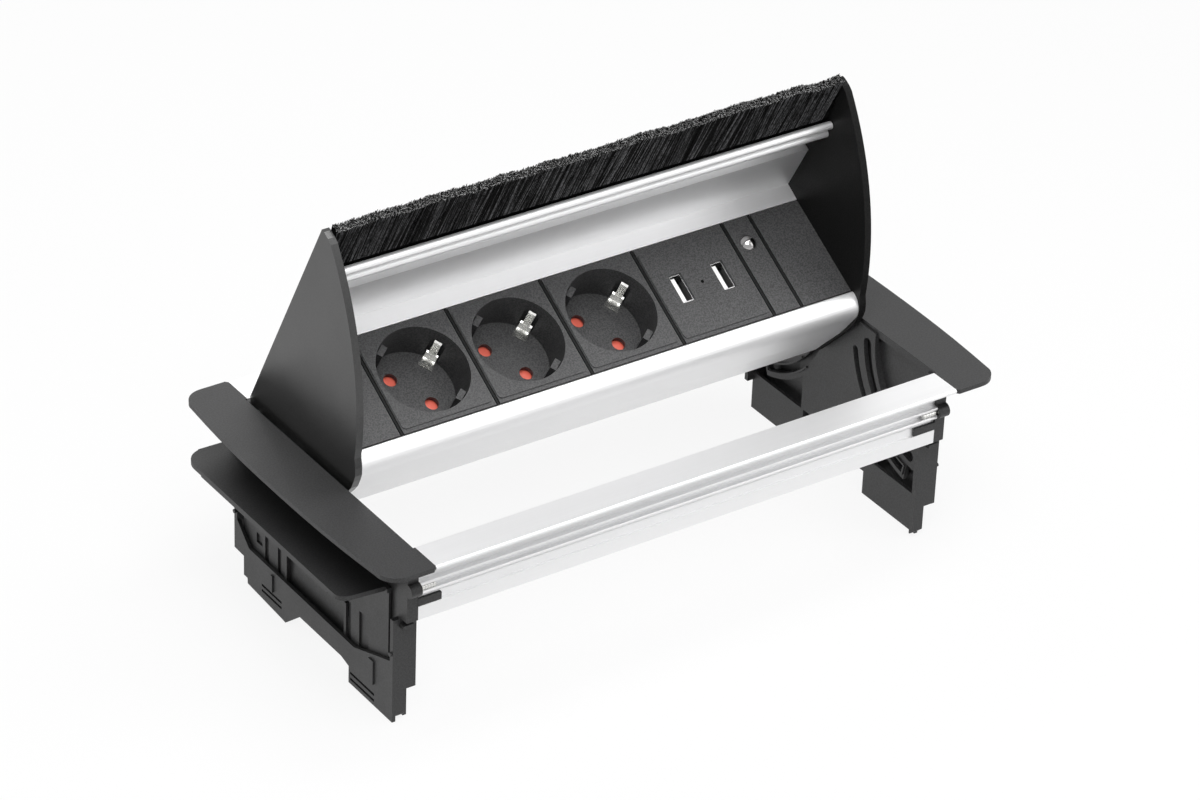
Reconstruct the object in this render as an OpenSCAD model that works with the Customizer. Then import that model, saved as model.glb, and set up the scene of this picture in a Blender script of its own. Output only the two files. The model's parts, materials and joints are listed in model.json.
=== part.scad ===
// In-desk power module that flips open in a desk cut-out.
// X runs along the module, Y from the user to the back, Z up.
// The origin is on the desk surface at the centre of the cut-out.

/* [Frame] */
// Length of the opening between the two end brackets
opening_len = 250.4; // [235:0.2:320]
// Depth of the frame over both rail lips
frame_depth = 157.2; // [152:0.2:170]
// Width of each rail lip on the desk
lip_w = 15.4; // [13:0.1:17]
// Thickness of the rail lips and of the bracket flanges
lip_t = 2.0; // [1.6:0.1:2.4]
// Height of the rails below the desk surface
rail_h = 30.0; // [28:0.5:34]
// Wall of the rails
rail_wall = 1.1; // [1:0.1:1.4]
// Width of the bracket flange on the desk
flange_w = 24.6; // [22:0.2:34]
// Depth of the brackets below the desk surface
bracket_h = 79.0; // [77:0.5:88]
// Wall of the brackets
bracket_wall = 2.2; // [1.8:0.1:2.2]

/* [Flip module] */
// Angle that the module turns from closed to open
open_angle = 62.3; // [55:0.1:66]
// Thickness of the end cheeks
cheek_t = 3.2; // [2.6:0.1:3.4]
// Gap between a cheek and the bracket beside it
cheek_gap = 1.3; // [1:0.1:2]
// Wall of the aluminium body
body_wall = 2.0; // [1.6:0.1:2.4]
// Depth of the panel opening in the body
panel_h = 47.4; // [47:0.1:48]
// Lean of the panel from square to the lid
panel_tilt = 2.4; // [0:0.1:4]

/* [Sockets] */
// Distance from one module to the next in the panel
module_pitch = 45.0; // [44.5:0.1:46]
// Number of earthed sockets
socket_count = 3; // [1:1:3]
// Diameter of the plug recess at its mouth
recess_d = 39.4; // [39:0.1:40.2]
// Depth of the plug recess
recess_depth = 17.5; // [17:0.1:18]
// Distance between the two pin holes
pin_pitch = 19.0; // [18.8:0.1:19.2]
// Diameter of the pin holes
pin_hole_d = 5.8; // [5.2:0.1:6]
// Turn of the pin line from the length of the module
pin_angle = -52.5; // [-60:0.5:-30]
// Turn of a shutter that frees its pin holes
shutter_turn = 42; // [40:1:44]

/* [Charger] */
// Width of the opening of a charging port
port_w = 5.7; // [5.5:0.1:6]
// Length of the opening of a charging port
port_l = 13.1; // [12.8:0.1:13.6]
// Distance between the two charging ports
port_pitch = 20.6; // [16:0.1:24]
// Width of the indicator strip
strip_w = 13.9; // [12:0.1:16]
// Diameter of the indicator dome
dome_d = 7.0; // [5:0.1:8]

/* [Brush] */
// Free length of the bristles
bristle_len = 19.6; // [16:0.1:19.6]
// Width of one tuft
tuft_w = 1.5; // [1.2:0.1:3]
// Lean of the bristles
bristle_lean = 3; // [0:1:20]

/* [Clamps] */
// Distance from the desk surface down to the lowered clamp wing
wing_low = 20.0; // [12:0.5:22]
// Distance from the desk surface down to the raised clamp wing
wing_high = 2.4; // [2:0.1:6]
// Thickness of the clamp wings
wing_t = 2.0; // [1.6:0.1:2.6]

/* [Hidden] */
$fn = 48;

// Colours
black_plastic = "#2b2b2d";
dark_plastic = "#1d1d1f";
aluminium = "#d9dadb";
steel = "#b9bcc0";
shutter_red = "#d9564a";
brass = "#c9a14a";

// Frame sizes
half_len = opening_len / 2;
half_depth = frame_depth / 2;
lip_edge = half_depth - lip_w;
rail_in = lip_edge + 0.7;
rail_out = rail_in + rail_wall;
skirt_out = rail_out + 1.2;
skirt_h = 6.2;
fin_out = rail_out + 2.6;
fin_t = 1.2;
fin_gap = 2.8;
screw_y = rail_out + 1.4;
screw_z = -15;
stud_r = 1.85;
band_h = 2.4;
band_bottom = screw_z - fin_gap / 2 - fin_t - band_h;

// Bracket planes, counted outward from the opening edge
pocket_in = half_len + 3.2;
pocket_out = pocket_in + 1.2;
slide_gap = 0.3;
skirt_t = 1.2;
band_in = pocket_out + 2 * slide_gap + skirt_t;
band_out = band_in + 1.6;
post_in = half_len - 2.9;
post_y1 = lip_edge - 2.5;
post_y0 = post_y1 - 2.2;
boss_out = half_len + 5.0;
rim_z = -(bracket_h - 19.5);

// Pivot of the flip module, in the frame and in the lid's own section
pivot_y = lip_edge - 3.2;
pivot_z = -3.8;
lid_z = lip_t;
pivot_s = 121.2;
pivot_n = lid_z - pivot_z;
pin_r = 1.8;
pin_run = 0.05;
knuckle_r = 3.5;
guide_arc_r = 50.2;
guide_r = 1.5;
guide_run = 0.2;
guide_top = 191.5;
screw_arc_r = 41.6;
screw_head_r = 2.2;
screw_run = 0.3;
screw_top = 184.6;
screw_open = 258;
boss_r = 2.4;
ring_in = 36.4;
ring_out = 55.0;
hub_half_w = 23.5;
hub_h = bracket_h - 18;
foot_in = hub_half_w - 1.6;
foot_t = 1.6;

// Flip module planes
cheek_out = half_len - cheek_gap;
cheek_in = cheek_out - cheek_t;
lid_back = 117;
arc_c = [112, 58];
arc_r = 130;
panel_top = [68.8, 12.4];
panel_mid_s = panel_top[0] + panel_h / 2 * sin(panel_tilt);
panel_mid_n = panel_top[1] + panel_h / 2 * cos(panel_tilt);

// Panel layout along the module
rib_w = 0.9;
rib_gap = 0.45;
insert_w = module_pitch - rib_w - 2 * rib_gap;
insert_h = panel_h - 1.0;
plate_t = 2.0;
pad_t = 0.4;
first_edge = -98.3;
usb_edge = first_edge + socket_count * module_pitch;
strip_edge = usb_edge + module_pitch;
right_edge = strip_edge + strip_w;
recess_up = 0.8;
function socket_x(k) = first_edge + (k + 0.5) * module_pitch;

// Depths below the panel face
floor_z = pad_t - recess_depth;
cup_bottom = floor_z - 2.0;
shutter_top = cup_bottom - 0.8;
shutter_t = 1.9;
shutter_floor = shutter_top - shutter_t - 0.4;
sleeve_bottom = shutter_floor - 13.7;
base_bottom = sleeve_bottom - 2.0;
bar_t = 0.8;
shutter_pin_r = 1.55;
shutter_run = 0.08;
clip_angle = pin_angle + 90;
tab_r = 15.8;

// Helpers

// Extrude a section drawn in Y and Z along X
module along_x(x0, x1) {
    translate([x0, 0, 0])
        rotate([90, 0, 90])
            linear_extrude(x1 - x0) children();
}

// A straight cylinder along X
module rod_x(x0, x1, y, z, r) {
    translate([x0, y, z])
        rotate([90, 0, 90])
            cylinder(h = x1 - x0, r = r);
}

// Rounded rectangle, centred
module round_rect(w, h, r) {
    square([w - 2 * r, h], center = true);
    square([w, h - 2 * r], center = true);
    for (i = [-1, 1], j = [-1, 1])
        translate([i * (w / 2 - r), j * (h / 2 - r)]) circle(r = r);
}

// Points of an arc
function arc_points(c, r, a0, a1, n) =
    [for (i = [0 : n]) let(a = a0 + (a1 - a0) * i / n) [c[0] + r * cos(a), c[1] + r * sin(a)]];

// Put lid coordinates into the open position. In them Y runs from the brush edge to the back
// of the lid, and the lid's outer face is at zero height.
module open_lid() {
    translate([0, pivot_y, pivot_z])
        rotate([-open_angle, 0, 0])
            translate([0, -pivot_s, pivot_n]) children();
}

// Put panel coordinates into lid coordinates: X along, Y up the panel, Z out of it
module on_panel(x, up) {
    open_lid()
        translate([x, panel_mid_s, -panel_mid_n])
            rotate([90 + panel_tilt, 0, 0])
                translate([0, up, 0]) children();
}

// End brackets

// Outline of the flange: straight towards the opening, bowed outward
module flange_outline() {
    out_x = half_len + flange_w;
    bow = 2.8;
    corner = 9;
    end_y = half_depth + 0.5;
    polygon(concat(
        [[half_len, -end_y + 1.2], [half_len + 1.2, -end_y]],
        arc_points([out_x - bow - corner, -end_y + corner], corner, -90, -14, 8),
        [for (i = [-5 : 5]) [out_x - bow * pow(abs(i) / 6, 2.4), i * (end_y - corner - 2) / 6]],
        arc_points([out_x - bow - corner, end_y - corner], corner, 14, 90, 8),
        [[half_len + 1.2, end_y], [half_len, end_y - 1.2], [half_len, lip_edge],
            [half_len + 0.9, lip_edge], [half_len + 0.9, -lip_edge], [half_len, -lip_edge]]));
}

// Sector of a ring about the pivot, with angles from +Y towards +Z
module sector(r0, r1, a0, a1) {
    translate([pivot_y, pivot_z])
        intersection() {
            difference() {
                circle(r = r1, $fn = 96);
                circle(r = r0, $fn = 96);
            }
            polygon(concat([[0, 0]],
                [for (i = [0 : 6]) let(a = a0 + (a1 - a0) * i / 6) [90 * cos(a), 90 * sin(a)]]));
        }
}

// Curved slot with round ends about the pivot, which stand a little proud of its sides
module curved_slot(r, w, a0, a1) {
    sector(r - w / 2, r + w / 2, a0, a1);
    for (a = [a0, a1])
        translate([pivot_y + r * cos(a), pivot_z + r * sin(a)]) circle(r = w / 2 + 0.04);
}

// Thick inner wall with the guide slots of both pivot positions
module slot_wall() {
    along_x(half_len, half_len + bracket_wall)
        difference() {
            union() {
                translate([-hub_half_w, -hub_h]) square([2 * hub_half_w, hub_h]);
                for (m = [0, 1]) mirror([m, 0]) {
                    sector(ring_in, ring_out, 180, 258);
                    sector(ring_in, screw_arc_r + 5, 250, 265);
                }
            }
            for (m = [0, 1]) mirror([m, 0]) {
                curved_slot(guide_arc_r, 2 * (guide_r + guide_run), guide_top,
                    guide_top + open_angle);
                curved_slot(screw_arc_r, 2 * (screw_head_r + screw_run), screw_top, screw_open);
            }
        }
    // Raised rim round the lower end of the thin slots
    along_x(half_len - 0.7, half_len + 0.1)
        for (m = [0, 1]) mirror([m, 0]) difference() {
            sector(guide_arc_r - 2.7, guide_arc_r + 2.7, 222, guide_top + open_angle + 3.4);
            sector(guide_arc_r - 1.9, guide_arc_r + 1.9, 221, guide_top + open_angle + 2.4);
        }
}

// Recessed wall beside the slot wall, with the steps that join the two
module pocket_wall() {
    along_x(pocket_in, pocket_out)
        difference() {
            union() {
                translate([-post_y0 - 0.2, -52]) square([2 * post_y0 + 0.4, 51.5]);
                translate([-foot_in - 0.3, -hub_h - 4]) square([2 * foot_in + 0.6, hub_h]);
            }
            for (m = [0, 1]) mirror([m, 0]) intersection() {
                sector(ring_in + 1.6, ring_out - 1.6, 170, 266);
                translate([30, -60]) square([40, 80]);
            }
        }
    along_x(half_len + bracket_wall - 0.2, pocket_out - 0.2)
        for (m = [0, 1]) mirror([m, 0]) {
            sector(ring_in + 0.15, ring_in + 1.9, 182, 257);
            sector(ring_out - 1.9, ring_out - 0.15, 184, 257);
        }
    // Ceiling under the flange
    translate([half_len + 1.1, -post_y1, -1.6]) cube([boss_out - half_len - 1.1, 2 * post_y1, 1.8]);
}

// Lower outer band with a sloping rim, feet and louvres
module lower_band() {
    arch_z = -bracket_h + 9.2;
    difference() {
        along_x(band_in, band_out)
            polygon([[-post_y1, rim_z + 11], [-49, rim_z], [32, rim_z - 0.6],
                [post_y1, rim_z + 9.4], [post_y1, -bracket_h], [28.2, -bracket_h],
                [28.2, -bracket_h + 7.7], [22.6, arch_z], [-9.3, arch_z],
                [-20.4, -bracket_h], [-23, -bracket_h + 0.3], [-50.2, -bracket_h + 2],
                [-51.2, -bracket_h + 13.6], [-post_y1, -bracket_h + 13.9]]);
        // Blind louvres
        for (l = [[-39, 15.6, 4.6], [-39, 15.6, 7.2], [29.4, 18, 1.8], [29.4, 18, 4.6]])
            translate([band_out - 0.8, l[0], -bracket_h + l[2]]) cube([2, l[1], 1.2]);
    }
    // Upright ribs on the outer face
    translate([band_out - 0.1, -31.2, arch_z]) cube([0.8, 1.4, 8]);
    translate([band_out - 0.1, 43.6, arch_z + 1]) cube([0.8, 3.6, 11]);
    // Webs that tie the band to the slot wall
    for (y = [-hub_half_w, hub_half_w - 1.6])
        translate([half_len + 0.4, y, arch_z]) cube([band_in - half_len - 0.3, 1.6, 25]);
    translate([half_len + foot_t, -hub_half_w, arch_z])
        cube([band_in - half_len - foot_t + 0.1, 2 * hub_half_w, 1.6]);
    // Inner foot plates at both ends, tied to the band by the webs
    for (m = [0, 1]) mirror([0, m, 0])
        translate([half_len, foot_in, -bracket_h])
            cube([foot_t, post_y0 + 0.2 - foot_in, bracket_h - hub_h]);
}

// End post: the wall at the front or back of a bracket, with its foot and rail seat.
// The foot keeps only the part between foot_x0 and foot_x1.
module end_post(foot_x0, foot_x1) {
    step_z = -(bracket_h - 14);
    translate([post_in, post_y0, step_z])
        cube([band_out - post_in, post_y1 - post_y0, -step_z - rail_h - 1]);
    difference() {
        translate([foot_x0, post_y0, -bracket_h + 1.2])
            cube([foot_x1 - foot_x0, post_y1 - post_y0, 14]);
        translate([foot_x0, post_y1, -bracket_h + 1.2]) rotate([45, 0, 0])
            cube([40, 2.2, 2.2], center = true);
        translate([foot_x1, post_y1, -bracket_h + 1.2]) rotate([0, 45, 0])
            cube([2.6, 40, 2.6], center = true);
    }
    // Rail seat, with a ledge under the rail
    translate([half_len, post_y0, -rail_h]) cube([5, skirt_out - post_y0, rail_h]);
    rod_x(half_len, boss_out, pivot_y, pivot_z, 3.4);
    translate([post_in, post_y0, -rail_h - 1]) cube([boss_out - post_in, post_y1 - post_y0, 1.1]);
    translate([half_len, post_y0, -rail_h - 4]) cube([5, post_y1 - post_y0 + 0.2, 4.2]);
    translate([half_len, post_y0, -rail_h - 4.5]) cube([5, 5.2, 1.6]);
    // Round nose for the rail screw
    rod_x(half_len, boss_out, screw_y, screw_z, 3.0);
    // Tongue that slides into the groove of the rail
    translate([half_len - 10.6, rail_out + 0.15, -rail_h + skirt_h + 0.3])
        cube([10.7, 1.2, rail_h - skirt_h + band_bottom - 0.5]);
    // Snap bump on the outer edge of the post
    rod_x(band_out - 1.2, band_out + 0.9, (post_y0 + post_y1) / 2, -47, 0.9);
}

module end_bracket() {
    color(black_plastic)
    difference() {
        union() {
            linear_extrude(lip_t) flange_outline();
            slot_wall();
            pocket_wall();
            lower_band();
            // At the back the foot is outboard, at the front it is inboard
            end_post(band_out - 5.8, band_out);
            mirror([0, 1, 0]) end_post(post_in, post_in + 5.2);
        }
        for (m = [0, 1]) mirror([0, m, 0]) {
            rod_x(half_len - 4, boss_out + 1, pivot_y, pivot_z, pin_r);
            rod_x(half_len - 4, boss_out - 1.2, screw_y, screw_z, stud_r + 0.05);
        }
    }
}

module right_bracket() {
    end_bracket();
}

module left_bracket() {
    rotate([0, 0, 180]) end_bracket();
}

// Rails

// Section of the rear rail: lip, wall, open screw channel, ribbed band, key groove and skirt
module rail_section() {
    rib = 0.28;
    rib_n = 6;
    band_top = band_bottom + band_h;
    union() {
        translate([lip_edge, 0]) square([lip_w - 0.6, lip_t]);
        translate([half_depth - lip_t / 2, lip_t / 2]) circle(r = lip_t / 2);
        polygon(concat(
            [[rail_in, -rail_h], [rail_out, -rail_h], [rail_out, band_top - band_h]],
            [for (i = [rib_n - 1 : -1 : 0]) each [
                [rail_out + rib, band_top - (i + 0.5) * band_h / rib_n],
                [rail_out, band_top - i * band_h / rib_n]]],
            [[rail_out, 0.5], [rail_in, 0.5]]));
        for (z = [screw_z + fin_gap / 2, screw_z - fin_gap / 2 - fin_t]) {
            translate([rail_out - 0.1, z]) square([fin_out - rail_out - 0.5, fin_t]);
            translate([fin_out - 0.75, z + fin_t / 2]) circle(r = 0.75);
        }
        translate([rail_out - 0.1, -rail_h]) square([skirt_out - rail_out + 0.1, skirt_h]);
    }
}

module rear_rail() {
    color(aluminium) along_x(-half_len + 0.05, half_len - 0.05) rail_section();
}

module front_rail() {
    mirror([0, 1, 0]) rear_rail();
}

// Threaded studs that hold the rails to the brackets
module rail_screw() {
    rod_x(half_len + 0.6, boss_out - 1.22, 0, 0, stud_r);
    rod_x(half_len - 7.2, half_len + 0.7, 0, 0, 1.1);
    for (i = [0 : 4]) rod_x(half_len - 6.8 + i * 1.3, half_len - 6.2 + i * 1.3, 0, 0, 1.27);
}

module rail_screws() {
    color(steel)
        for (a = [0, 1], b = [0, 1]) mirror([a, 0, 0]) mirror([0, b, 0])
            translate([0, screw_y, screw_z]) rail_screw();
}

module hinge_pins() {
    color(steel)
        for (a = [0, 1]) mirror([a, 0, 0])
            rod_x(cheek_in + 0.3, boss_out - 0.4, pivot_y, pivot_z, pin_r);
}

// Clamp wings

// Plan of a wing, with the long end towards the front
module wing_outline() {
    x0 = band_in - slide_gap - skirt_t;
    out_x = half_len + flange_w + 1.4;
    polygon(concat(
        [[boss_out + 1.4, -70.3], [x0 + 14, -70.6]],
        arc_points([out_x - 9, -61.4], 9, -84, 0, 8),
        arc_points([out_x - 5, 46], 5, 0, 84, 6),
        [[boss_out + 1.4, 52.4]]));
}

// Wing with its drop leg plates, which slide behind the lower band
module clamp_wing() {
    x0 = band_in - slide_gap - skirt_t;
    leg_h = 57;
    legs = [[-post_y0 + 2, -hub_half_w - 0.4], [hub_half_w + 0.4, post_y0 - 4.2]];
    groove = 0.8;
    color(black_plastic)
    difference() {
        union() {
            translate([0, 0, -wing_t]) linear_extrude(wing_t) wing_outline();
            translate([x0, -post_y0 + 2, -wing_t]) cube([2, 2 * post_y0 - 6.2, wing_t]);
            // Turned-down outer edge
            translate([half_len + flange_w + 0.2, -56, -wing_t - 0.8]) cube([1.0, 97, 0.9]);
            for (l = legs) translate([x0, l[0], -leg_h]) cube([skirt_t, l[1] - l[0], leg_h - 0.1]);
            translate([x0, -hub_half_w - 5, -16]) cube([skirt_t, 2 * hub_half_w + 10, 15.9]);
            // Stiffening ribs under the wing
            for (y = [-46, -30, -10, 10, 30, 44])
                translate([x0, y, -wing_t - 5])
                    rotate([90, 0, 0]) linear_extrude(1.4)
                        polygon([[0.2, 0], [0.2, 5.1], [18, 5.1]]);
        }
        // Guide grooves of the legs and the window of the latch
        for (g = [[-39.4, 3.1], [-29.4, 2.6], [22, 4.6], [32.8, 7]])
            translate([x0 + skirt_t - groove, g[0], -leg_h - 1]) cube([2, g[1], leg_h - 22]);
        translate([x0 + skirt_t - groove, -46.1, -35]) cube([4, 4.6, 4.7]);
    }
}

module right_clamp_wing() {
    translate([0, 0, -wing_high]) clamp_wing();
}

module left_clamp_wing() {
    translate([0, 0, -wing_low]) rotate([0, 0, 180]) clamp_wing();
}

// Flip module

// Outer edge of the body's section, from the lid round the nose to the hook of the brush
module body_outer() {
    nose_c = [77.2, -61.3];
    polygon(concat(
        [[16.6, 0], [lid_back - 0.6, 0], [lid_back, -0.8], [lid_back - 0.6, -20],
            [116.4, -56.6], [115.5, -59], [106.1, -61.7], [93.3, -65.5]],
        arc_points(nose_c, 7.1, -76, -186, 12),
        [[70.8, -59.8], [74, -59.8], [74, -12.4], [68.8, -12.4], [68.1, -4.6], [42.5, -5.2],
            [42.5, -2.4], [30, -2.3], [30, -8.2], [27.6, -8.2], [27.6, -7], [28.4, -7], [28.4, -2.3],
            [16.6, -2.2]]));
}

// Hollow of the body behind the panel
module body_hollow() {
    w = body_wall;
    polygon([[70.8, -5.6], [lid_back - w - 0.4, -2.6], [114.6, -20], [114.2, -55.6],
        [105.6, -59.6], [93, -63.4], [80, -66.2], [75.6, -65.7], [73, -63.2], [72.9, -61],
        [72.5, -59], [70.8, -13.8]]);
}

module body_section() {
    difference() {
        body_outer();
        difference() {
            body_hollow();
            // Screw bosses for the cheeks, on webs
            screw_boss_shapes();
        }
        translate([60, -59.8]) square([18, 47.4]);
        for (p = boss_points()) translate(p) circle(r = 1.3);
    }
}

// Screw bosses: the moving screw, the nose peg and the lid peg
function screw_point() = [pivot_s + screw_arc_r * cos(screw_open),
    -pivot_n + screw_arc_r * sin(screw_open)];
function guide_point() = [pivot_s + guide_arc_r * cos(guide_top + open_angle),
    -pivot_n + guide_arc_r * sin(guide_top + open_angle)];
function boss_points() = [screw_point(), [79.5, -64.3], [109.5, -4.9]];

module screw_boss_shapes() {
    for (p = boss_points()) translate(p) circle(r = boss_r);
}

module body_profile() {
    color(aluminium)
    open_lid()
    difference() {
        along_x(-cheek_in, cheek_in) body_section();
        // Hole for the cable gland in the rear wall
        translate([-88, lid_back + 5, -34]) rotate([90, 0, 0]) cylinder(h = 12, r = 6.1);
    }
}

// Cheek: straight edge along the lid, bowed front edge, knuckle on the pivot
module cheek_outline() {
    cy = arc_c[1];
    a1 = 180 + asin((cy + 7.6) / arc_r);
    a2 = 180 + asin((cy + 64.3) / arc_r);
    difference() {
        union() {
            polygon(concat(
                [[lid_back, 0], [-0.5, 0], [-0.9, -1.6], [-0.9, -5]],
                arc_points([arc_c[0], cy], arc_r, a1, a2, 18),
                [[71.5, -66.9], [74.6, -68.4], [77.5, -68.8], [82, -69], [86, -68.2], [93.3, -66.2], [106.1, -62.3], [115.8, -59.5], [117, -56.8],
                    [117.6, -30], [119.6, -12], [pivot_s + 1.2, -pivot_n],
                    [pivot_s - 1.6, -pivot_n + 3.1]]));
            translate([pivot_s, -pivot_n]) circle(r = knuckle_r);
        }
        translate([pivot_s, -pivot_n]) circle(r = pin_r + pin_run);
    }
}

module cheek() {
    color(black_plastic)
    open_lid()
    difference() {
        union() {
            along_x(cheek_in, cheek_out) cheek_outline();
            // Pegs that locate the cheek in the body
            for (i = [1, 2])
                rod_x(cheek_in - 9, cheek_in + 0.1, boss_points()[i][0], boss_points()[i][1], 1.3);
            // Rib that stops the end of the body from view
            along_x(cheek_in - 3, cheek_in + 0.1)
                polygon([[80, -56], [82, -56], [82, -20], [80, -20]]);
        }
        rod_x(cheek_in - 1, cheek_out + 1, screw_point()[0], screw_point()[1], 1.35);
        rod_x(cheek_in - 1, cheek_out + 1, guide_point()[0], guide_point()[1], guide_r);
        rod_x(cheek_out - 0.0, cheek_out + 1, screw_point()[0], screw_point()[1], screw_head_r);
    }
}

module right_cheek() {
    cheek();
}

module left_cheek() {
    mirror([1, 0, 0]) cheek();
}

module guide_pins() {
    color(steel)
        for (a = [0, 1]) mirror([a, 0, 0]) open_lid()
            rod_x(cheek_in, half_len + bracket_wall - 0.2, guide_point()[0], guide_point()[1],
                guide_r);
}

module cheek_screws() {
    color(steel)
        for (a = [0, 1]) mirror([a, 0, 0]) open_lid()
            difference() {
                union() {
                    rod_x(cheek_out, cheek_out + 2.0, screw_point()[0], screw_point()[1],
                        screw_head_r);
                    rod_x(cheek_in - 11, cheek_out + 0.1, screw_point()[0], screw_point()[1], 1.3);
                }
                for (t = [0, 90])
                    translate([cheek_out + 2, screw_point()[0], screw_point()[1]])
                        rotate([t, 0, 0]) cube([1.8, 2.6, 0.7], center = true);
            }
}

// Brush

// Channel strip with two round beads that grips the root of the brush
module brush_holder() {
    color(aluminium)
    open_lid()
    along_x(-cheek_in + 0.3, cheek_in - 0.3) {
        translate([20.1, -9.2]) circle(r = 1.7);
        translate([25.6, -9.2]) circle(r = 1.7);
        translate([19.4, -9.4]) square([7.6, 1.8]);
        translate([26.2, -9.2]) square([1.3, 6.6]);
        translate([19.2, -3.5]) square([8.3, 0.9]);
    }
}

// Ragged tuft ends from a repeating pseudo-random rule
function ragged(i) = 1.1 * sin(i * 137.5) + 0.7 * sin(i * 61.3) - 0.5;

module tuft_row(y0, y1, seed) {
    half = cheek_in - 3.2;
    n = floor(2 * half / tuft_w);
    polygon(concat(
        [[-half, 19.2], [-half, 19.0 - bristle_len]],
        [for (i = [1 : n - 1]) each [
            [-half + (i - 0.42) * tuft_w, 19.8 - bristle_len + ragged(i + seed) * 0.6],
            [-half + i * tuft_w, max(-1.4, 19.0 - bristle_len + ragged(i + seed) * 0.6)]]],
        [[half, 19.0 - bristle_len], [half, 19.2]]));
}

// Brush: a moulded root and two rows of tufts with slanted grooves between them
module brush_strip() {
    half = cheek_in - 3.2;
    color(dark_plastic)
    open_lid()
    difference() {
        union() {
            translate([-half, 19.2, -7.4]) cube([2 * half, 6.8, 3.8]);
            translate([0, 0, -5.4]) linear_extrude(1.9) tuft_row(0, 0, 3);
            translate([0, 0, -7.2]) linear_extrude(1.9) tuft_row(0, 0, 40);
        }
        for (i = [0 : floor(2 * half / 4.2) - 2])
            translate([-half + 3 + i * 4.2, 18.4, -7.2]) rotate([0, 0, 180 - bristle_lean])
                translate([0, 0, -0.25]) cube([0.7, bristle_len - 5, 0.6]);
    }
}

// Panel

// Ladder frame behind the inserts, with thin ribs that show between them
module panel_frame() {
    rib_x = [for (k = [0 : socket_count + 1]) first_edge + k * module_pitch];
    color(black_plastic)
    on_panel(0, 0) {
        for (j = [-1, 1])
            translate([-cheek_in + 0.1, j * (panel_h / 2 - 0.9) - 0.8, -5])
                cube([2 * cheek_in - 0.2, 1.6, 3.0]);
        for (x = concat(rib_x, [right_edge]))
            translate([x - rib_w / 2, -panel_h / 2 + 0.2, -5])
                cube([rib_w, panel_h - 0.4, 4.9]);
    }
}

// Flat insert plate between two edges, with a raised pad
module insert_plate(x0, x1) {
    w = x1 - x0;
    translate([x0, -insert_h / 2, -plate_t]) cube([w, insert_h, plate_t]);
    translate([(x0 + x1) / 2, 0, -0.1])
        linear_extrude(pad_t + 0.1) round_rect(w - 0.8, insert_h - 3.6, 2);
}

module left_blank() {
    color(black_plastic)
    on_panel(0, 0)
        translate([-cheek_in + 0.1, -insert_h / 2, -plate_t])
            cube([first_edge + cheek_in - 0.1 - rib_w / 2 - rib_gap, insert_h, plate_t]);
}

module right_blank() {
    color(black_plastic)
    on_panel(0, 0)
        translate([right_edge + rib_w / 2 + rib_gap, -insert_h / 2, -plate_t])
            cube([cheek_in - 0.1 - right_edge - rib_w / 2 - rib_gap, insert_h, plate_t]);
}

// Sockets

// Pin positions relative to the centre of the recess
function pin_at(side) = [side * pin_pitch / 2 * cos(pin_angle), side * pin_pitch / 2 * sin(pin_angle)];

module socket_insert() {
    difference() {
        union() {
            difference() {
                union() {
                    translate([0, -recess_up, 0]) insert_plate(-insert_w / 2, insert_w / 2);
                    translate([0, 0, cup_bottom])
                        cylinder(h = -cup_bottom - 1, r = recess_d / 2 + 1.3, $fn = 96);
                }
                translate([0, 0, floor_z])
                    cylinder(h = recess_depth + 1, r1 = recess_d / 2 - 1.1,
                        r2 = recess_d / 2 + 0.05, $fn = 96);
            }
            // Guide ribs of the recess, in line with the pins
            for (s = [0, 180]) rotate([0, 0, pin_angle + s])
                translate([recess_d / 2 - 3.1, -2.6, floor_z - 0.1])
                    cube([2.6, 5.2, recess_depth - 2.6]);
        }
        for (s = [-1, 1]) translate([pin_at(s)[0], pin_at(s)[1], cup_bottom - 1])
            cylinder(h = 4, d = pin_hole_d);
        // Slots for the earth clips
        for (s = [0, 180]) rotate([0, 0, clip_angle + s]) {
            translate([tab_r - 0.6, -1.7, cup_bottom - 1]) cube([1.2, 3.4, 4]);
            translate([recess_d / 2 - 1.6, -3.4, floor_z + 0.3]) cube([2.6, 6.8, 10.7]);
        }
    }
}

module socket_inserts(k) {
    color(black_plastic) on_panel(socket_x(k), recess_up) socket_insert();
}

// Lower housing that holds the contacts and the shutter
module socket_base() {
    depth = cup_bottom - base_bottom;
    difference() {
        translate([-20.5, -20.5, base_bottom]) cube([41, 41, depth]);
        translate([0, 0, shutter_floor]) cylinder(h = 20, r = 14.3, $fn = 96);
        for (s = [-1, 1]) translate([pin_at(s)[0], pin_at(s)[1], 0]) {
            translate([0, 0, sleeve_bottom]) cylinder(h = 20, r = 3.5);
            translate([0, 0, base_bottom - 1]) cylinder(h = 5, r = 1.1);
        }
        for (s = [0, 180]) rotate([0, 0, clip_angle + s])
            translate([tab_r - 0.6, -1.7, base_bottom - 1]) cube([1.2, 3.4, depth + 2]);
        translate([0, 0, shutter_floor - 5]) cylinder(h = 6, r = 3.3);
        // Lightening pockets in the corners
        for (i = [-1, 1], j = [-1, 1])
            translate([i * 17.4 - 2, j * 17.4 - 2, base_bottom + 2]) cube([4, 4, depth]);
    }
    translate([0, 0, shutter_floor - 5.1])
        cylinder(h = shutter_top - shutter_floor + 5.1 + 0.4, r = shutter_pin_r);
}

module socket_bases(k) {
    color(dark_plastic) on_panel(socket_x(k), recess_up) socket_base();
}

// Shutter that turns on the centre post and covers both pin holes
module shutter() {
    difference() {
        translate([0, 0, shutter_top - shutter_t]) linear_extrude(shutter_t) {
            for (s = [-1, 1]) translate(pin_at(s)) circle(r = 3.8);
            rotate(pin_angle) square([pin_pitch, 4.4], center = true);
            circle(r = 3.6);
        }
        translate([0, 0, shutter_top - 5]) cylinder(h = 10, r = shutter_pin_r + shutter_run);
    }
}

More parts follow.
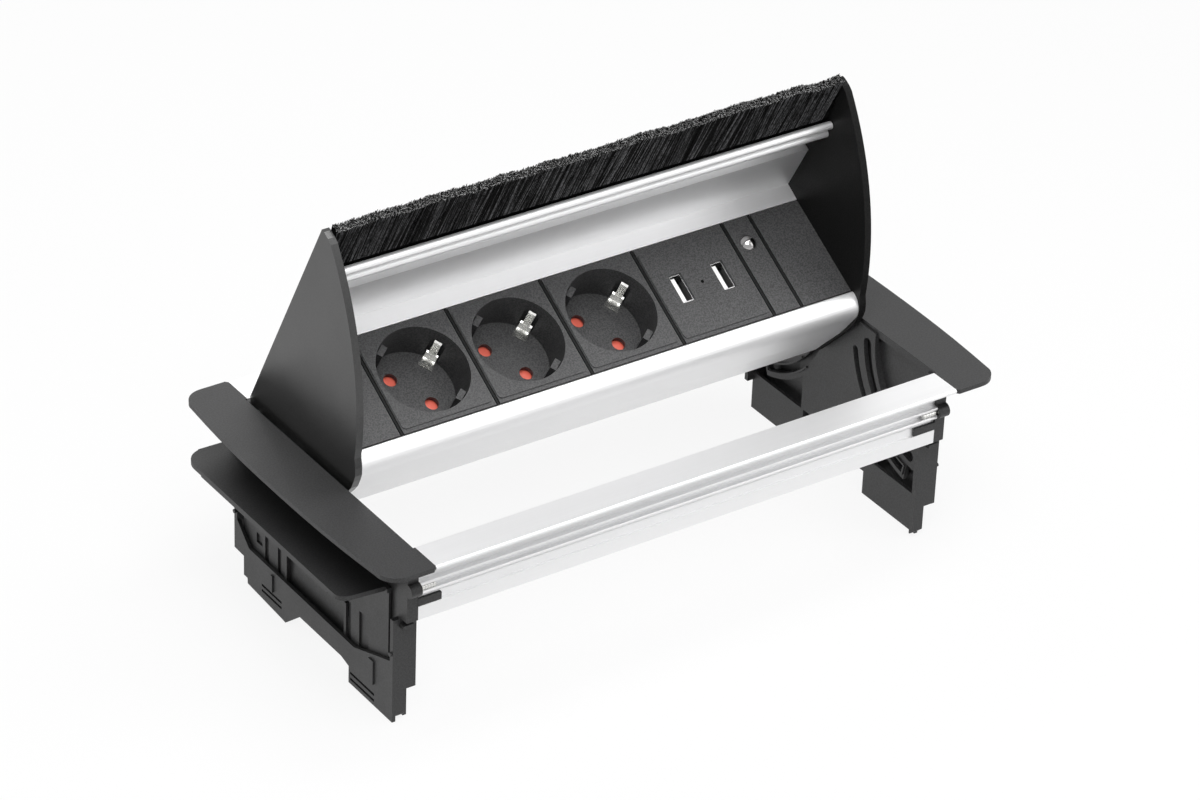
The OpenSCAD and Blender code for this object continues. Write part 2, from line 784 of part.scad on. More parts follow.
module shutters(k) {
    color(shutter_red) on_panel(socket_x(k), recess_up) shutter();
}

// Return spring of a shutter, a round wire coil
module coil(r, wire, pitch, turns) {
    step = 20;
    side = 6;
    n = floor(turns * 360 / step);
    ring = [for (i = [0 : n]) let(a = i * step) [for (j = [0 : side - 1]) let(b = j * 360 / side)
        [(r + wire * cos(b)) * cos(a), (r + wire * cos(b)) * sin(a),
            pitch * a / 360 + wire * sin(b)]]];
    points = [for (p = ring) each p];
    walls = [for (i = [0 : n - 1], j = [0 : side - 1])
        [i * side + j, i * side + (j + 1) % side, (i + 1) * side + (j + 1) % side,
            (i + 1) * side + j]];
    polyhedron(points, concat([[for (j = [0 : side - 1]) side - 1 - j]], walls,
        [[for (j = [0 : side - 1]) n * side + j]]));
}

module shutter_springs() {
    color(steel)
        for (k = [0 : 2]) on_panel(socket_x(k), recess_up)
            translate([0, 0, shutter_floor - 4.6]) coil(2.45, 0.35, 1.15, 3.9);
}

// Slit sleeves that grip the plug pins
module pin_sleeves() {
    color(brass)
        for (k = [0 : 2], s = [-1, 1]) on_panel(socket_x(k), recess_up)
            translate([pin_at(s)[0], pin_at(s)[1], 0])
                difference() {
                    union() {
                        translate([0, 0, sleeve_bottom])
                            cylinder(h = shutter_floor - sleeve_bottom - 0.4, r = 3.2);
                        translate([0, 0, base_bottom]) cylinder(h = 2.1, r = 1.0);
                    }
                    translate([0, 0, sleeve_bottom + 1]) cylinder(h = 20, r = 2.35);
                    translate([-5, -0.4, sleeve_bottom + 3]) cube([10, 0.8, 20]);
                }
}

// Earth clip: a wide foot on the recess floor, a narrow spring arm up the wall and a tab
// to the earth bar
module earth_clip() {
    t = 0.8;
    mouth = -3.2;
    translate([0, 3.2, 0]) rotate([90, 0, 0]) linear_extrude(6.4)
        polygon([[13.0, floor_z], [18.2, floor_z], [18.2, floor_z + t], [13.0, floor_z + t]]);
    translate([0, 2.6, 0]) rotate([90, 0, 0]) linear_extrude(5.2)
        polygon([[16.6, floor_z], [18.2, floor_z], [19.4, floor_z + 3.4], [18.3, floor_z + 5.1],
            [17.5, floor_z + 4.6], [18.2, floor_z + 3.6], [17.6, floor_z + t], [16.6, floor_z + t]]);
    translate([0, 1.6, 0]) rotate([90, 0, 0]) linear_extrude(3.2)
        polygon([[18.9, floor_z + 4.2], [16.2, floor_z + 8.6], [18.6, mouth - 0.8], [18.0, mouth],
            [17.2, mouth - 0.6], [15.2, floor_z + 8.6], [18.0, floor_z + 3.8]]);
    translate([tab_r - t / 2, -1.5, base_bottom]) cube([t, 3, floor_z - base_bottom + 0.1]);
}

module earth_clips() {
    color(steel)
        for (k = [0 : 2], s = [0, 180]) on_panel(socket_x(k), recess_up)
            rotate([0, 0, clip_angle + s]) earth_clip();
}

// Busbars along the back of the sockets
bar_x0 = -112;
bar_x1 = socket_x(2) + 14;

module busbar(up, width) {
    translate([bar_x0, up - width / 2, base_bottom - bar_t])
        cube([bar_x1 - bar_x0, width, bar_t]);
}

// The live bar is notched where the rungs of the earth bar end
module live_bar() {
    tab = [tab_r * cos(clip_angle), tab_r * sin(clip_angle)];
    color(brass) on_panel(0, recess_up)
        difference() {
            busbar(pin_at(-1)[1], 5);
            for (k = [0 : 2]) translate([socket_x(k) + tab[0] - 3, tab[1] - 3, base_bottom - 2])
                cube([6, 6, 4]);
        }
}

module neutral_bar() {
    color(brass) on_panel(0, recess_up) busbar(pin_at(1)[1], 5);
}

// The earth bar has a rung at each earth tab
module earth_bar() {
    tab = [tab_r * cos(clip_angle), tab_r * sin(clip_angle)];
    color(brass) on_panel(0, recess_up)
        translate([0, 0, base_bottom - bar_t]) {
            translate([bar_x0, tab[1] + 2.2, 0]) cube([bar_x1 + 8 - bar_x0, 4, bar_t]);
            for (k = [0 : 2]) translate([socket_x(k) + tab[0] - 2, tab[1] - 2.4, 0])
                cube([4, 6, bar_t]);
        }
}

module terminal_block() {
    color(dark_plastic) on_panel(0, recess_up)
        difference() {
            translate([bar_x0 - 4, -13, base_bottom - 1.9]) cube([12, 32, 14.3]);
            for (up = [pin_at(1)[1], pin_at(-1)[1], tab_r * sin(clip_angle) + 4.2]) {
                translate([bar_x0 - 1.5, up - 3, base_bottom - bar_t - 0.1]) cube([12, 6, 6]);
                translate([bar_x0 + 1.8, up, base_bottom + 3]) cylinder(h = 20, r = 1.7);
            }
        }
}

module terminal_screws() {
    color(steel) on_panel(0, recess_up)
        for (up = [pin_at(1)[1], pin_at(-1)[1], tab_r * sin(clip_angle) + 4.2])
            translate([bar_x0 + 1.8, up, base_bottom]) difference() {
                cylinder(h = 11, r = 1.6);
                translate([0, 0, 11]) cube([4, 0.6, 1.4], center = true);
            }
}

// Charger

usb_mid = usb_edge + module_pitch / 2;
shell_depth = 13.9;
board_t = 1.6;
port_up = 0.8;

module usb_insert() {
    color(black_plastic)
    on_panel(usb_mid, 0)
    difference() {
        insert_plate(-insert_w / 2, insert_w / 2);
        for (s = [-1, 1]) translate([s * port_pitch / 2, port_up, 0])
            cube([port_w + 0.3, port_l + 0.3, 10], center = true);
        translate([0, port_up, -5]) cylinder(h = 10, r = 0.8);
    }
}

module usb_shells() {
    t = 0.4;
    color(steel)
        for (s = [-1, 1]) on_panel(usb_mid + s * port_pitch / 2, port_up)
            difference() {
                translate([0, 0, -shell_depth / 2 - 0.15])
                    cube([port_w, port_l, shell_depth - 0.3], center = true);
                cube([port_w - 2 * t, port_l - 2 * t, 2 * shell_depth - 2 * t], center = true);
            }
}

module usb_tongues() {
    color("#e8e8e6")
        for (s = [-1, 1]) on_panel(usb_mid + s * port_pitch / 2, port_up)
            translate([-1.9, -5.6, -shell_depth + 0.45]) cube([1.8, 11.2, shell_depth - 1.65]);
}

module usb_board() {
    color("#1d5a36") on_panel(usb_mid, 0)
        translate([-18, -19, -shell_depth - board_t]) cube([36, 38, board_t]);
}

module usb_transformer() {
    color("#3a3a30") on_panel(usb_mid, 0)
        translate([-12, -4, -shell_depth - board_t - 9]) {
            cube([14, 14, 9]);
            translate([2, -1.5, 1.5]) cube([10, 17, 6]);
        }
}

module usb_capacitors() {
    color("#26304a") on_panel(usb_mid, 0)
        for (p = [[9, 10], [9, -2], [-6, -12]])
            translate([p[0], p[1], -shell_depth - board_t - 9.5]) cylinder(h = 9.5, r = 4);
}

module usb_light_pipe() {
    color("#d8dde2") on_panel(usb_mid, port_up)
        translate([0, 0, -shell_depth]) cylinder(h = shell_depth + pad_t - 0.1, r = 0.75);
}

// Back cover of the charger, open towards the panel
module usb_cover() {
    depth = shell_depth + board_t + 12;
    color(dark_plastic) on_panel(usb_mid, 0)
        difference() {
            translate([-20.5, -20.5, -depth]) cube([41, 41, depth - plate_t]);
            translate([-18.9, -18.9, -depth + 1.6]) cube([37.8, 37.8, depth]);
            translate([-18.2, -19.2, -shell_depth - board_t]) cube([36.4, 38.4, depth]);
        }
}

// Indicator

module indicator_plate() {
    color(black_plastic)
    on_panel(0, 0)
    difference() {
        translate([strip_edge + rib_w / 2 + rib_gap, -insert_h / 2, -plate_t])
            cube([strip_w - rib_w - 2 * rib_gap, insert_h, plate_t + 0.1]);
        translate([strip_edge + strip_w / 2, 11.4, -5]) cylinder(h = 10, d = dome_d + 0.2);
    }
}

module indicator_dome() {
    dome_h = 2.0;
    r = dome_d / 2;
    ball = (r * r + dome_h * dome_h) / (2 * dome_h);
    color("#c9ced2") on_panel(strip_edge + strip_w / 2, 11.4) {
        translate([0, 0, -3]) cylinder(h = 3.1, r = r);
        intersection() {
            translate([0, 0, dome_h - ball + 0.1]) sphere(r = ball, $fn = 64);
            cylinder(h = 10, r = r);
        }
        translate([0, 0, -3]) cylinder(h = 0.9, r = r + 0.9);
    }
}

module indicator_lamp() {
    color("#e6ebe6") on_panel(strip_edge + strip_w / 2, 11.4) {
        translate([0, 0, -8]) cylinder(h = 5, r = 2.4);
        translate([-3.2, -3.2, -9.4]) cube([6.4, 6.4, 1.4]);
        for (s = [-1, 1]) translate([s * 1.27, 0, -14]) cylinder(h = 5, r = 0.3);
    }
}

// Rubber gland where the mains cable enters the rear wall
module cable_gland() {
    color(dark_plastic)
    open_lid()
    translate([-88, lid_back, -34])
        rotate([90, 0, 0])
            rotate_extrude()
                polygon([[3.4, -2.6], [8.4, -2.6], [8.4, -0.2], [6.0, 0.2], [6.0, 2.9],
                    [7.2, 3.3], [6.2, 6.2], [3.4, 6.2]]);
}

right_bracket();
left_bracket();
front_rail();
rear_rail();
rail_screws();
hinge_pins();
right_clamp_wing();
left_clamp_wing();
body_profile();
right_cheek();
left_cheek();
guide_pins();
cheek_screws();
brush_holder();
brush_strip();
panel_frame();
left_blank();
right_blank();
socket_inserts(0);  // socket_insert_1
socket_inserts(1);  // socket_insert_2
socket_inserts(2);  // socket_insert_3
socket_bases(0);  // socket_base_1
socket_bases(1);  // socket_base_2
socket_bases(2);  // socket_base_3
shutters(0);  // shutter_1
shutters(1);  // shutter_2
shutters(2);  // shutter_3
shutter_springs();
pin_sleeves();
earth_clips();
live_bar();
neutral_bar();
earth_bar();
terminal_block();
terminal_screws();
usb_insert();
usb_shells();
usb_tongues();
usb_board();
usb_transformer();
usb_capacitors();
usb_light_pipe();
usb_cover();
indicator_plate();
indicator_dome();
indicator_lamp();
cable_gland();
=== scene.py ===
"""Looks of the in-desk power module: finishes, bristles, studio and camera."""

import json
import math
import random

import bpy
from mathutils import Matrix, Vector


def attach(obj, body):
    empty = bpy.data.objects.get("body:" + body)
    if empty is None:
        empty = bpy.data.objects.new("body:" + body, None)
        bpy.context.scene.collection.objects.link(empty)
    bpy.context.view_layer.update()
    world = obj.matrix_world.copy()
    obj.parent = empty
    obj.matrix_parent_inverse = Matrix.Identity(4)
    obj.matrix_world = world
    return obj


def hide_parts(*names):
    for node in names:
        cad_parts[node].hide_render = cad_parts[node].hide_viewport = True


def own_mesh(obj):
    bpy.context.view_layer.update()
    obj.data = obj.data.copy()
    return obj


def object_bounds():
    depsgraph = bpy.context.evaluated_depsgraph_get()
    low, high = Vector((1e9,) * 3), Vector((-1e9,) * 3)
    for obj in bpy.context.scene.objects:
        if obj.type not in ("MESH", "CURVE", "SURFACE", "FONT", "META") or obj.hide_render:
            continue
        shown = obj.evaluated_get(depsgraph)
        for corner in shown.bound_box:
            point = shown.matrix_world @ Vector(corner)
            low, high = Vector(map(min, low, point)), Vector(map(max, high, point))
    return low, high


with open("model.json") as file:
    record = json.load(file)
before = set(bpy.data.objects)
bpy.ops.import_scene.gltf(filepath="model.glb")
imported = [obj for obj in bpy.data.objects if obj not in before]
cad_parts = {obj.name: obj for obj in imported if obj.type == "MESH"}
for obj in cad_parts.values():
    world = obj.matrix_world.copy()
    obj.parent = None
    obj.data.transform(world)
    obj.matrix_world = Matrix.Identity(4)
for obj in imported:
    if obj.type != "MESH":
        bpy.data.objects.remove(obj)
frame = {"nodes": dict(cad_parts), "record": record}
CAD_BOX = [list(v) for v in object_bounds()]
NODES = frame["nodes"]
MM = 0.001

# Values shared with the part's source, in millimetres and degrees
OPEN_ANGLE = 62.3
PIVOT = (60.0, -3.8)
PIVOT_S, PIVOT_N = 121.2, 5.8
HALF_LENGTH, CHEEK_GAP, CHEEK_WALL = 125.2, 1.3, 3.2
CHEEK_IN = HALF_LENGTH - CHEEK_GAP - CHEEK_WALL


def lid_matrix():
    """Lid coordinates (x, s, height above the lid's outer face, mm) to the row frame."""
    turn = Matrix.Rotation(math.radians(-OPEN_ANGLE), 4, "X")
    return (
        Matrix.Scale(MM, 4)
        @ Matrix.Translation((0, *PIVOT))
        @ turn
        @ Matrix.Translation((0, -PIVOT_S, PIVOT_N))
    )


# ---------------------------------------------------------------- materials

def new_material(name):
    """Material with a shader joined to its output."""
    mat = bpy.data.materials.new(name)
    mat.use_nodes = True
    tree = mat.node_tree
    tree.nodes.clear()
    out = tree.nodes.new("ShaderNodeOutputMaterial")
    shader = tree.nodes.new("ShaderNodeBsdfPrincipled")
    tree.links.new(shader.outputs["BSDF"], out.inputs["Surface"])
    return mat, tree, shader


def coords(tree, scale=(1, 1, 1)):
    """Object coordinates in metres, stretched by scale."""
    place = tree.nodes.new("ShaderNodeTexCoord")
    mapping = tree.nodes.new("ShaderNodeMapping")
    mapping.inputs["Scale"].default_value = scale
    tree.links.new(place.outputs["Object"], mapping.inputs["Vector"])
    return mapping.outputs["Vector"]


def noise(tree, vector, scale, detail=3.0, rough=0.5):
    node = tree.nodes.new("ShaderNodeTexNoise")
    node.inputs["Scale"].default_value = scale
    node.inputs["Detail"].default_value = detail
    node.inputs["Roughness"].default_value = rough
    tree.links.new(vector, node.inputs["Vector"])
    return node.outputs["Fac"]


def ramp(tree, fac, low, high, a, b):
    """Maps a factor from the range low to high onto the range a to b."""
    node = tree.nodes.new("ShaderNodeMapRange")
    node.inputs["From Min"].default_value = low
    node.inputs["From Max"].default_value = high
    node.inputs["To Min"].default_value = a
    node.inputs["To Max"].default_value = b
    tree.links.new(fac, node.inputs["Value"])
    return node.outputs["Result"]


def two_tone(tree, fac, dark, light, low=0.35, high=0.65):
    """Colour that goes from dark to light as a factor goes from low to high."""
    node = tree.nodes.new("ShaderNodeValToRGB")
    node.color_ramp.elements[0].position = low
    node.color_ramp.elements[1].position = high
    node.color_ramp.elements[0].color = (*dark, 1)
    node.color_ramp.elements[1].color = (*light, 1)
    tree.links.new(fac, node.inputs["Fac"])
    return node.outputs["Color"]


def bump(tree, shader, fac, strength, distance):
    node = tree.nodes.new("ShaderNodeBump")
    node.inputs["Strength"].default_value = strength
    node.inputs["Distance"].default_value = distance
    tree.links.new(fac, node.inputs["Height"])
    tree.links.new(node.outputs["Normal"], shader.inputs["Normal"])


def moulded(name, dark, light, rough, grain=2600, strength=0.22, depth=0.00006, spec=0.5):
    """Moulded plastic with a fine spark-eroded grain."""
    mat, tree, shader = new_material(name)
    even = coords(tree)
    broad = noise(tree, even, 60, 2)
    fine = noise(tree, even, grain, 2, 0.6)
    fleck = noise(tree, even, 1500, 2, 0.7)
    tree.links.new(two_tone(tree, fleck, dark, light, 0.4, 0.6), shader.inputs["Base Color"])
    tree.links.new(ramp(tree, broad, 0.3, 0.7, rough - 0.03, rough + 0.03),
                   shader.inputs["Roughness"])
    shader.inputs["Specular IOR Level"].default_value = spec
    bump(tree, shader, fine, strength, depth)
    return mat


def extruded(name, colour, rough, streak=0.012):
    """Satin anodised aluminium with faint die lines along X."""
    mat, tree, shader = new_material(name)
    lines = noise(tree, coords(tree, (3, 900, 900)), 1.0, 3, 0.65)
    fine = noise(tree, coords(tree), 5200, 1)
    light = tuple(min(1.0, c * (1 + streak)) for c in colour)
    dark = tuple(c * (1 - streak) for c in colour)
    tree.links.new(two_tone(tree, lines, dark, light, 0.3, 0.7), shader.inputs["Base Color"])
    tree.links.new(ramp(tree, lines, 0.3, 0.7, rough - 0.02, rough + 0.02),
                   shader.inputs["Roughness"])
    shader.inputs["Metallic"].default_value = 0.72
    bump(tree, shader, fine, 0.08, 0.00002)
    return mat


def metal(name, colour, rough):
    """Bare or plated metal with faint clouding."""
    mat, tree, shader = new_material(name)
    cloud = noise(tree, coords(tree), 420, 3)
    dark = tuple(c * 0.97 for c in colour)
    tree.links.new(two_tone(tree, cloud, dark, colour), shader.inputs["Base Color"])
    tree.links.new(ramp(tree, cloud, 0.3, 0.7, rough - 0.015, rough + 0.015),
                   shader.inputs["Roughness"])
    shader.inputs["Metallic"].default_value = 1.0
    return mat


def gloss(name, colour, rough):
    """Smooth coloured plastic."""
    mat, tree, shader = new_material(name)
    cloud = noise(tree, coords(tree), 300, 2)
    dark = tuple(c * 0.92 for c in colour)
    tree.links.new(two_tone(tree, cloud, dark, colour), shader.inputs["Base Color"])
    shader.inputs["Roughness"].default_value = rough
    return mat


def nylon(name, dark, light, rough, scale, spec=0.25):
    """Black nylon with fine speckle."""
    mat, tree, shader = new_material(name)
    speck = noise(tree, coords(tree), scale, 2, 0.7)
    tree.links.new(two_tone(tree, speck, dark, light, 0.46, 0.56), shader.inputs["Base Color"])
    shader.inputs["Roughness"].default_value = rough
    shader.inputs["Specular IOR Level"].default_value = spec
    return mat


FINISH = {
    "black_plastic": moulded("moulded_black", (0.017, 0.017, 0.017), (0.032, 0.032, 0.033), 0.45,
                             spec=0.42),
    "panel_plastic": moulded("panel_black", (0.026, 0.026, 0.027), (0.062, 0.062, 0.063), 0.5,
                             3400, 0.3, 0.00008, spec=0.35),
    "inner_plastic": moulded("housing_black", (0.016, 0.016, 0.017), (0.022, 0.022, 0.023), 0.55),
    "anodised_aluminium": extruded("anodised_satin", (0.87, 0.87, 0.875), 0.42),
    "steel": metal("zinc_plate", (0.72, 0.72, 0.70), 0.24),
    "port_steel": metal("port_shell", (0.32, 0.32, 0.32), 0.25),
    # Both cheeks are one black plastic in two copies. The right cheek's copy is darker with its
    # specular nearly off: painted shade on its shaded inner face. The left cheek's copy is the
    # lit one.
    "cheek_shaded_copy": moulded("cheek_shaded_copy", (0.005, 0.005, 0.005), (0.011, 0.011, 0.011), 0.5,
                           spec=0.08),
    "cheek_lit_copy": moulded("cheek_lit_copy", (0.007, 0.007, 0.007), (0.017, 0.017, 0.017), 0.32,
                           spec=0.78),
    "brass": metal("bare_brass", (0.72, 0.53, 0.25), 0.3),
    "shutter_red": gloss("shutter_red", (0.74, 0.13, 0.085), 0.42),
    "tongue_white": gloss("tongue_white", (0.85, 0.85, 0.84), 0.35),
    "board_green": gloss("board_green", (0.03, 0.16, 0.07), 0.35),
    "capacitor_blue": gloss("capacitor_blue", (0.04, 0.06, 0.2), 0.3),
    "pipe_dark": moulded("light_pipe", (0.002, 0.002, 0.002), (0.004, 0.004, 0.004), 0.6,
                         spec=0.05),
    "dome_clear": metal("dome_clear", (0.42, 0.41, 0.41), 0.1),
    "lamp_white": gloss("lamp_white", (0.5, 0.51, 0.5), 0.15),
    "bristle": nylon("bristle_nylon", (0.001, 0.001, 0.001), (0.004, 0.004, 0.004), 0.5, 900,
                     spec=0.07),
    # Grey nylon for a share of the front-most strands: painted highlight streaks on the black
    # bristles
    "bristle_painted_glint": nylon("bristle_painted_glint", (0.03, 0.03, 0.031), (0.09, 0.09, 0.094), 0.4, 900),
    "bristle_cut": nylon("bristle_cut", (0.004, 0.004, 0.004), (0.5, 0.5, 0.5), 0.6, 1100),
    # Near-black finish for the panel frame, which is panel plastic: painted shade in the shallow
    # seams between the modules
    "seam_painted_shade": moulded("seam_painted_shade", (0.004, 0.004, 0.004), (0.008, 0.008, 0.008), 0.6,
                          spec=0.15),
    "rubber": moulded("rubber_black", (0.018, 0.018, 0.018), (0.024, 0.024, 0.024), 0.6),
}
# Nodes whose finish differs from their material slot's
OWN_FINISH = {"usb_shells": "port_steel", "usb_light_pipe": "pipe_dark",
              # The panel frame is near-black as painted shade in its seams
              "panel_frame": "seam_painted_shade", "indicator_dome": "dome_clear",
              # The cheeks get a painted-shade copy (right) and a lit copy (left) of one black
              # plastic
              "left_cheek": "cheek_lit_copy", "right_cheek": "cheek_shaded_copy"}
SLOT_OF = {s["node"]: s["material_slot"] for s in frame["record"]["subparts"]}
for name, obj in NODES.items():
    obj.data.materials.clear()
    slot = OWN_FINISH.get(name, SLOT_OF[name])
    obj.data.materials.append(FINISH[slot])


def add_mesh(name, verts, faces, *materials):
    """New mesh object with the given material slots."""
    mesh = bpy.data.meshes.new(name)
    mesh.from_pydata(verts, [], faces)
    mesh.update()
    obj = bpy.data.objects.new(name, mesh)
    bpy.context.collection.objects.link(obj)
    for mat in materials:
        mesh.materials.append(mat)
    return obj


# ------------------------------------------------------------------- bristles

# All in lid coordinates, in millimetres
BRISTLE_HALF = CHEEK_IN - 0.4
BRISTLE_ROOT, BRISTLE_END = 17.4, -5.4
BRISTLE_LEAN = 0.16
ROOT_BAND = (-7.2, -3.8)
TIP_BAND = (-4.7, -0.7)
TIP_BACK, TIP_SPREAD = 0.9, 0.4
STRAND_COUNT, QUICK_COUNT, STRAND_SEED = 24000, 6000, 7
# The thicker grey strands on the front layer are painted highlight streaks
STRAND_R, GLINT_R = (0.11, 0.15), 0.17
GLINT_DEPTH, GLINT_SHARE = 0.06, 0.25
FRONT_BIAS = 1.3
SIDES = 3
BODY_SLOT, CUT_SLOT, GLINT_SLOT = 0, 1, 2
# Solid filling behind the strands: lowest and highest s, lowest and highest height
CORES = ((0.5, 9.5, -5.2, -3.0), (9.0, 18.0, -6.2, -4.2), (16.0, 25.8, -6.3, -3.9))


def wave(table, place):
    """Smooth value of a table of random heights at a place from 0 to 1."""
    k = place * (len(table) - 1)
    i = min(int(k), len(table) - 2)
    f = (1 - math.cos((k - i) * math.pi)) / 2
    return table[i] * (1 - f) + table[i + 1] * f


def strands(count, seed):
    """Straight three-sided strands from the holder to a wavy, ragged cut edge."""
    rng = random.Random(seed)
    verts, faces, slots = [], [], []
    broad = [rng.uniform(-1.9, 0.2) for _ in range(23)]
    small = [rng.uniform(-0.6, 0.6) for _ in range(110)]
    drift = [rng.uniform(-0.05, 0.05) for _ in range(70)]
    for k in range(count):
        x = -BRISTLE_HALF + 2 * BRISTLE_HALF * (k + rng.random()) / count
        place = (x / BRISTLE_HALF + 1) / 2
        depth = rng.random() ** FRONT_BIAS
        lean = BRISTLE_LEAN + wave(drift, place) + rng.gauss(0, 0.02)
        end = BRISTLE_END + TIP_BACK - wave(broad, place) - wave(small, place)
        end = max(BRISTLE_END, end + rng.gauss(0, TIP_SPREAD))
        # Some front-most strands are thicker and grey: painted highlight streaks
        glint_strand = depth < GLINT_DEPTH and rng.random() < GLINT_SHARE
        r = GLINT_R if glint_strand else rng.uniform(*STRAND_R)
        base = len(verts)
        spin = rng.uniform(0, 2)
        for band, s in ((ROOT_BAND, BRISTLE_ROOT), (TIP_BAND, end)):
            cx = max(-BRISTLE_HALF, min(BRISTLE_HALF, x - lean * (s - end)))
            ch = band[0] + (band[1] - band[0]) * depth
            for side in range(SIDES):
                a = spin + side * 2 * math.pi / SIDES
                verts.append((cx + r * math.cos(a), s, ch + r * math.sin(a)))
        for side in range(SIDES):
            a, b = base + side, base + (side + 1) % SIDES
            faces.append((a, b, b + SIDES, a + SIDES))
            slots.append(GLINT_SLOT if glint_strand else BODY_SLOT)
        faces.append(tuple(range(base + SIDES, base + 2 * SIDES)))
        slots.append(CUT_SLOT)
    return verts, faces, slots


def block(x0, x1, y0, y1, z0, z1):
    """Corners and faces of a box."""
    verts = [(x, y, z) for x in (x0, x1) for y in (y0, y1) for z in (z0, z1)]
    faces = [(0, 1, 3, 2), (4, 6, 7, 5), (0, 4, 5, 1), (2, 3, 7, 6), (0, 2, 6, 4), (1, 5, 7, 3)]
    return verts, faces


def add_brush():
    """Loose bristles that stand for the solid brush strip."""
    count = STRAND_COUNT
    verts, faces, slots = strands(count, STRAND_SEED)
    for core in CORES:
        core_verts, core_faces = block(-BRISTLE_HALF, BRISTLE_HALF, *core)
        faces += [tuple(i + len(verts) for i in face) for face in core_faces]
        verts += core_verts
        slots += [BODY_SLOT] * len(core_faces)
    lid = lid_matrix()
    verts = [tuple(lid @ Vector(v)) for v in verts]
    brush = add_mesh("brush_bristles", verts, faces, FINISH["bristle"], FINISH["bristle_cut"],
                     FINISH["bristle_painted_glint"])
    brush.data.polygons.foreach_set("material_index", slots)
    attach(brush, "module")
    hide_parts("brush_strip")
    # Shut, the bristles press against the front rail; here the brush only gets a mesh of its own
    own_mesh(brush)


add_brush()

# --------------------------------------------------------------------- studio

FLOOR_HALF = 6
FLOOR_TONES = (0.70, 0.70, 0.70), (0.72, 0.72, 0.72)
FLOOR_WHITE = 0.88  # share of plain white in what the camera and mirrors see of the floor
AMBIENT = 0.26  # world light on the object
MIRROR_SHARE = 0.72  # how far mirrors see the white backdrop


def math_node(tree, operation, *values):
    """Maths on sockets or plain numbers."""
    node = tree.nodes.new("ShaderNodeMath")
    node.operation = operation
    for socket, value in zip(node.inputs, values):
        if isinstance(value, float):
            socket.default_value = value
        else:
            tree.links.new(value, socket)
    return node.outputs["Value"]


def add_floor(z):
    """Pale floor that keeps the object's shadow and reads as nearly white."""
    mat, tree, shader = new_material("studio_floor")
    shader.inputs["Roughness"].default_value = 0.9
    cloud = noise(tree, coords(tree), 2, 1)
    tree.links.new(two_tone(tree, cloud, *FLOOR_TONES), shader.inputs["Base Color"])
    out = next(n for n in tree.nodes if n.type == "OUTPUT_MATERIAL")
    path = tree.nodes.new("ShaderNodeLightPath")
    white = tree.nodes.new("ShaderNodeEmission")
    white.inputs["Color"].default_value = (1, 1, 1, 1)
    white.inputs["Strength"].default_value = 1.0
    seen = math_node(tree, "MAXIMUM", path.outputs["Is Camera Ray"],
                     path.outputs["Is Glossy Ray"])
    mix = tree.nodes.new("ShaderNodeMixShader")
    tree.links.new(math_node(tree, "MULTIPLY", seen, FLOOR_WHITE), mix.inputs["Fac"])
    tree.links.new(shader.outputs["BSDF"], mix.inputs[1])
    tree.links.new(white.outputs["Emission"], mix.inputs[2])
    tree.links.new(mix.outputs["Shader"], out.inputs["Surface"])
    half = FLOOR_HALF
    floor = add_mesh("floor", [(-half, -half, z), (half, -half, z), (half, half, z),
                               (-half, half, z)], [(0, 1, 2, 3)], mat)


def set_world():
    """White for the camera, for mirrors in part and through clear parts; soft light else."""
    world = bpy.data.worlds.new("studio")
    bpy.context.scene.world = world
    world.use_nodes = True
    tree = world.node_tree
    tree.nodes.clear()
    out = tree.nodes.new("ShaderNodeOutputWorld")
    background = tree.nodes.new("ShaderNodeBackground")
    background.inputs["Color"].default_value = (1, 1, 1, 1)
    path = tree.nodes.new("ShaderNodeLightPath")
    mirror = math_node(tree, "MULTIPLY", path.outputs["Is Glossy Ray"], MIRROR_SHARE)
    seen = math_node(tree, "MAXIMUM", path.outputs["Is Camera Ray"], mirror)
    clear = math_node(tree, "MAXIMUM", seen, path.outputs["Is Transmission Ray"])
    tree.links.new(ramp(tree, clear, 0.0, 1.0, AMBIENT, 1.0), background.inputs["Strength"])
    tree.links.new(background.outputs["Background"], out.inputs["Surface"])


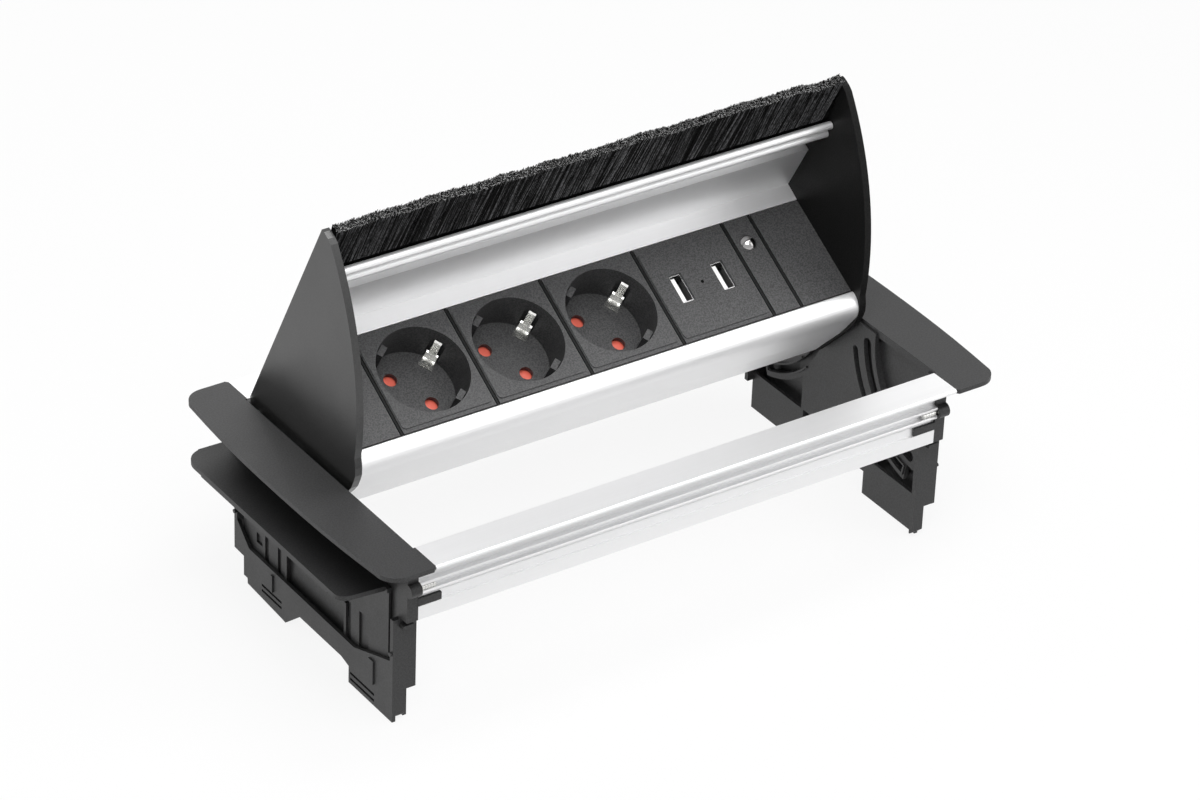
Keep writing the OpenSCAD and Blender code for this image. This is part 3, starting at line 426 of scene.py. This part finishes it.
def area_light(name, place, aim, size, power):
    """Rectangular lamp at a place, turned to its aim (metres, watts)."""
    data = bpy.data.lights.new(name, "AREA")
    data.shape = "RECTANGLE"
    data.size, data.size_y = size
    data.energy = power
    obj = bpy.data.objects.new(name, data)
    bpy.context.collection.objects.link(obj)
    obj.location = place
    obj.rotation_euler = (Vector(aim) - Vector(place)).to_track_quat("-Z", "Y").to_euler()


add_floor(CAD_BOX[0][2])
set_world()
area_light("key", (-0.3, -0.55, 1.1), (0, 0, 0), (0.9, 0.9), 15)
area_light("fill", (0.9, -0.75, 0.55), (0, 0, 0), (0.8, 0.8), 3)
area_light("rim", (-0.2, 1.0, 0.8), (0, 0, 0.02), (1.2, 0.5), 5)
area_light("sheen", (0.36, -0.06, 0.95), (-0.08, 0, 0.02), (0.36, 0.6), 4)

# --------------------------------------------------------------------- camera

# Camera solved from the photograph: image 1200 x 800, focal length in pixels
FOCAL_PX, FRAME_W, SENSOR = 4878.54, 1200, 36.0
AZIMUTH, ELEVATION, ROLL = -35.21, 31.66, 2.29
AIM, DISTANCE = (-2.13, -7.77, 0.0), 1970.2

cam_data = bpy.data.cameras.new("camera")
cam_data.sensor_fit = "HORIZONTAL"
cam_data.sensor_width = SENSOR
cam_data.lens = FOCAL_PX / FRAME_W * SENSOR
cam_data.clip_start, cam_data.clip_end = 0.05, 50
cam = bpy.data.objects.new("camera", cam_data)
bpy.context.collection.objects.link(cam)
az, el, roll = (math.radians(v) for v in (AZIMUTH, ELEVATION, ROLL))
right = Vector((math.cos(az), math.sin(az), 0))
back = Vector((math.sin(az) * math.cos(el), -math.cos(az) * math.cos(el), math.sin(el)))
up = back.cross(right)
right, up = (math.cos(roll) * right + math.sin(roll) * up,
             -math.sin(roll) * right + math.cos(roll) * up)
rot = Matrix((right, up, back)).transposed()
cam.matrix_world = Matrix.Translation(Vector(AIM) * MM + back * DISTANCE * MM) @ rot.to_4x4()
bpy.context.scene.camera = cam
bpy.context.scene.view_settings.view_transform = "Standard"
